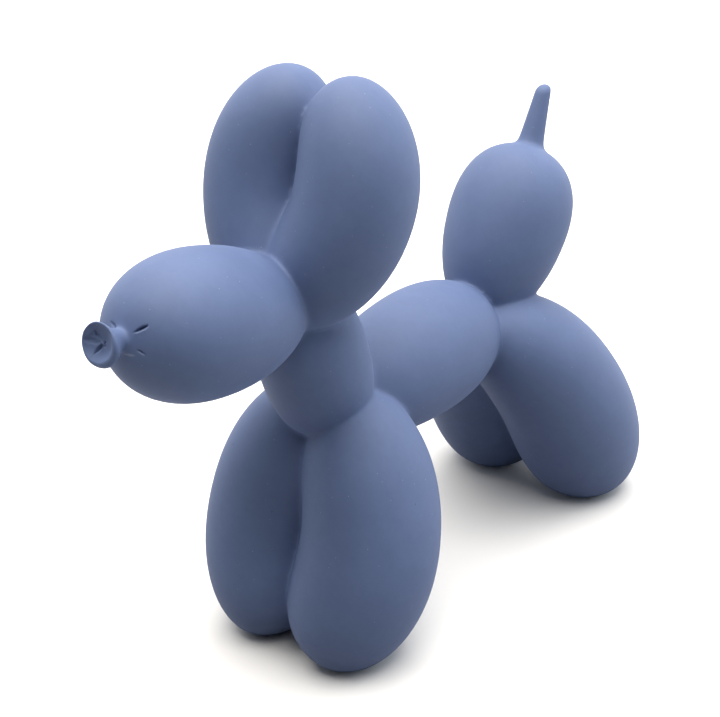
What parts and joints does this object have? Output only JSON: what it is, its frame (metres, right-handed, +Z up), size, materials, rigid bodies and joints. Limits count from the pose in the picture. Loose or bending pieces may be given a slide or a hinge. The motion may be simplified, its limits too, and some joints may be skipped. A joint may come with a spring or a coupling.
{
  "type": "balloon dog statue",
  "caption": "Matte cast ornament in the form of a twisted balloon dog, with a tied mouth at the snout and a teat on the tail; it stands on its four feet.",
  "frame": {"origin": "centre of the bounding box at floor level, under the dog's body", "axes": "+Z up; the dog faces -Y; +X is the dog's left side; the mid-plane is x = 0"},
  "size_m": [0.0896, 0.2506, 0.2],
  "materials": {
    "balloon_dog": "matte slate-blue paint on cast resin"
  },
  "bodies": {
    "root": {"balloon_dog": "balloon_dog"}
  },
  "joints": []
}
